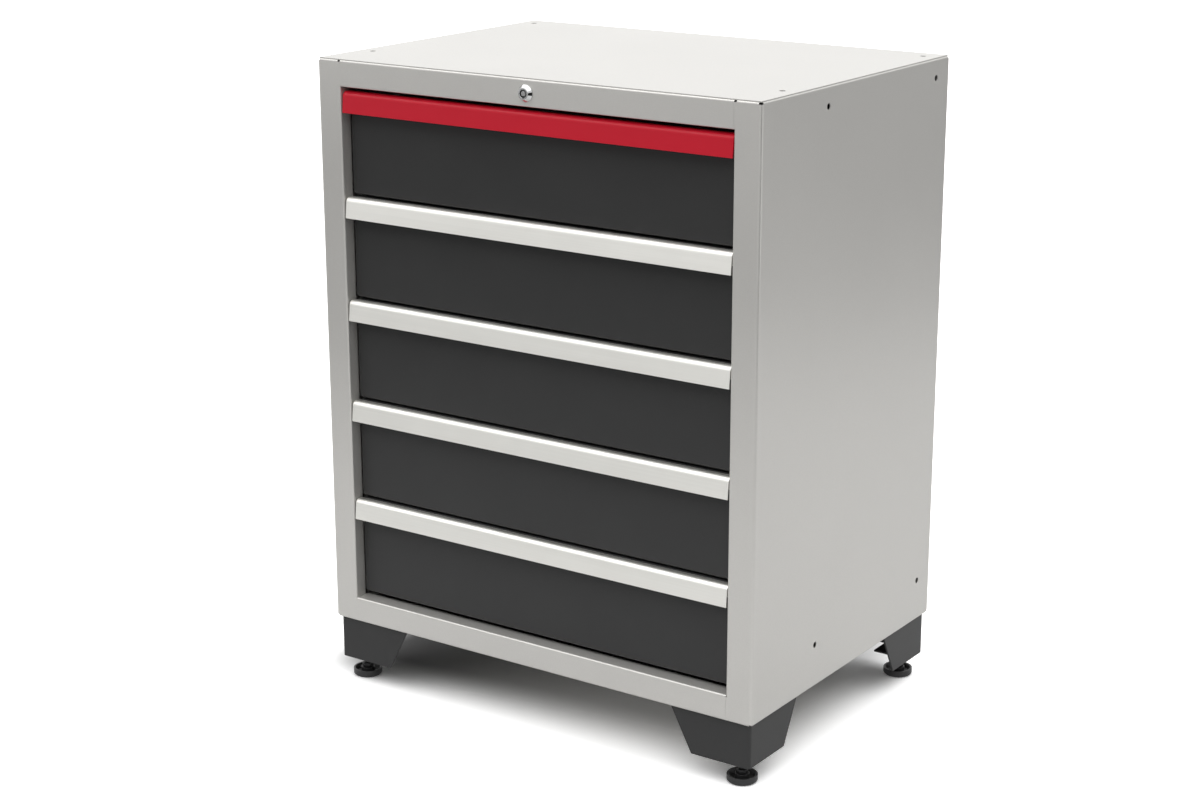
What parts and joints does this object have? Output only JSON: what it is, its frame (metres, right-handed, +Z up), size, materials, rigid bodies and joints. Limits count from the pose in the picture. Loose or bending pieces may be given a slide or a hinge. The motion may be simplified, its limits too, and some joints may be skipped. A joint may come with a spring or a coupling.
{
  "type": "drawer tool cabinet",
  "caption": "Free-standing steel tool cabinet: folded case on corner legs with levelling feet, equal drawers with full-width pull handles on ball slides, and a central front lock.",
  "frame": {"origin": "on the floor under the middle of the cabinet's own box", "axes": "+X to the right seen from the front, +Y to the back, +Z up"},
  "size_m": [0.675, 0.4856, 0.87],
  "materials": {
    "silver_coat": "fine metallic powder coat, satin",
    "charcoal_coat": "fine powder coat, satin",
    "red_coat": "satin coat on an aluminium profile",
    "satin_aluminium": "satin anodised profile",
    "chrome": "polished",
    "zinc_steel": "bright zinc plate",
    "black_plastic": "moulded, matt",
    "rubber_mat": "fine ribbed, matt"
  },
  "bodies": {
    "case": {"left_side_panel": "silver_coat", "right_side_panel": "silver_coat", "top_panel": "silver_coat", "base_panel": "silver_coat", "back_panel": "silver_coat", "top_rail": "silver_coat", "bottom_rail": "silver_coat", "left_slide_posts": "silver_coat", "right_slide_posts": "silver_coat", "left_cabinet_slides": "zinc_steel", "right_cabinet_slides": "zinc_steel", "leg_bolts": "zinc_steel", "lock_body": "chrome", "lock_nut": "zinc_steel", "lock_guides": "zinc_steel", "front_left_leg": "charcoal_coat", "front_right_leg": "charcoal_coat", "rear_left_leg": "charcoal_coat", "rear_right_leg": "charcoal_coat"},
    "lock_turn": {"lock_plug": "chrome", "lock_rod": "zinc_steel"},
    "lock_lift": {"lock_bar": "zinc_steel"},
    "drawer_1": {"drawer_1_box": "charcoal_coat", "drawer_1_front": "charcoal_coat", "drawer_1_handle": "red_coat", "drawer_1_liner": "rubber_mat", "drawer_1_runner": "zinc_steel"},
    "middle_1": {"drawer_1_middle_slide": "zinc_steel"},
    "drawer_2": {"drawer_2_box": "charcoal_coat", "drawer_2_front": "charcoal_coat", "drawer_2_handle": "satin_aluminium", "drawer_2_liner": "rubber_mat", "drawer_2_runner": "zinc_steel"},
    "middle_2": {"drawer_2_middle_slide": "zinc_steel"},
    "drawer_3": {"drawer_3_box": "charcoal_coat", "drawer_3_front": "charcoal_coat", "drawer_3_handle": "satin_aluminium", "drawer_3_liner": "rubber_mat", "drawer_3_runner": "zinc_steel"},
    "middle_3": {"drawer_3_middle_slide": "zinc_steel"},
    "drawer_4": {"drawer_4_box": "charcoal_coat", "drawer_4_front": "charcoal_coat", "drawer_4_handle": "satin_aluminium", "drawer_4_liner": "rubber_mat", "drawer_4_runner": "zinc_steel"},
    "middle_4": {"drawer_4_middle_slide": "zinc_steel"},
    "drawer_5": {"drawer_5_box": "charcoal_coat", "drawer_5_front": "charcoal_coat", "drawer_5_handle": "satin_aluminium", "drawer_5_liner": "rubber_mat", "drawer_5_runner": "zinc_steel"},
    "middle_5": {"drawer_5_middle_slide": "zinc_steel"},
    "front_left_foot": {"front_left_foot_pad": "black_plastic", "front_left_foot_stud": "zinc_steel"},
    "front_right_foot": {"front_right_foot_pad": "black_plastic", "front_right_foot_stud": "zinc_steel"},
    "rear_left_foot": {"rear_left_foot_pad": "black_plastic", "rear_left_foot_stud": "zinc_steel"},
    "rear_right_foot": {"rear_right_foot_pad": "black_plastic", "rear_right_foot_stud": "zinc_steel"}
  },
  "joints": [
    {"name": "drawer_1_pull", "type": "slide", "parent": "case", "child": "drawer_1", "axis": [0, -1, 0], "range_m": [0, 0.4]},
    {"name": "drawer_1_middle", "type": "slide", "parent": "case", "child": "middle_1", "axis": [0, -1, 0], "range_m": [0, 0.2]},
    {"name": "drawer_2_pull", "type": "slide", "parent": "case", "child": "drawer_2", "axis": [0, -1, 0], "range_m": [0, 0.4]},
    {"name": "drawer_2_middle", "type": "slide", "parent": "case", "child": "middle_2", "axis": [0, -1, 0], "range_m": [0, 0.2]},
    {"name": "drawer_3_pull", "type": "slide", "parent": "case", "child": "drawer_3", "axis": [0, -1, 0], "range_m": [0, 0.4]},
    {"name": "drawer_3_middle", "type": "slide", "parent": "case", "child": "middle_3", "axis": [0, -1, 0], "range_m": [0, 0.2]},
    {"name": "drawer_4_pull", "type": "slide", "parent": "case", "child": "drawer_4", "axis": [0, -1, 0], "range_m": [0, 0.4]},
    {"name": "drawer_4_middle", "type": "slide", "parent": "case", "child": "middle_4", "axis": [0, -1, 0], "range_m": [0, 0.2]},
    {"name": "drawer_5_pull", "type": "slide", "parent": "case", "child": "drawer_5", "axis": [0, -1, 0], "range_m": [0, 0.4]},
    {"name": "drawer_5_middle", "type": "slide", "parent": "case", "child": "middle_5", "axis": [0, -1, 0], "range_m": [0, 0.2]},
    {"name": "lock_key_turn", "type": "hinge", "parent": "case", "child": "lock_turn", "pos_m": [0, -0.23725, 0.851], "axis": [0, -1, 0], "range_deg": [0, 90]},
    {"name": "lock_bar_lift", "type": "slide", "parent": "case", "child": "lock_lift", "axis": [0, 0, 1], "range_m": [0, 0.01414]},
    {"name": "front_left_foot_level", "type": "slide", "parent": "case", "child": "front_left_foot", "axis": [0, 0, -1], "range_m": [0, 0.02]},
    {"name": "front_right_foot_level", "type": "slide", "parent": "case", "child": "front_right_foot", "axis": [0, 0, -1], "range_m": [0, 0.02]},
    {"name": "rear_left_foot_level", "type": "slide", "parent": "case", "child": "rear_left_foot", "axis": [0, 0, -1], "range_m": [0, 0.02]},
    {"name": "rear_right_foot_level", "type": "slide", "parent": "case", "child": "rear_right_foot", "axis": [0, 0, -1], "range_m": [0, 0.02]}
  ],
  "couplings": [
    {"joint": "drawer_1_middle", "follows": "drawer_1_pull", "ratio": 0.5},
    {"joint": "drawer_2_middle", "follows": "drawer_2_pull", "ratio": 0.5},
    {"joint": "drawer_3_middle", "follows": "drawer_3_pull", "ratio": 0.5},
    {"joint": "drawer_4_middle", "follows": "drawer_4_pull", "ratio": 0.5},
    {"joint": "drawer_5_middle", "follows": "drawer_5_pull", "ratio": 0.5},
    {"joint": "lock_key_turn", "follows": "lock_bar_lift", "rad_per_m": 111.07}
  ]
}
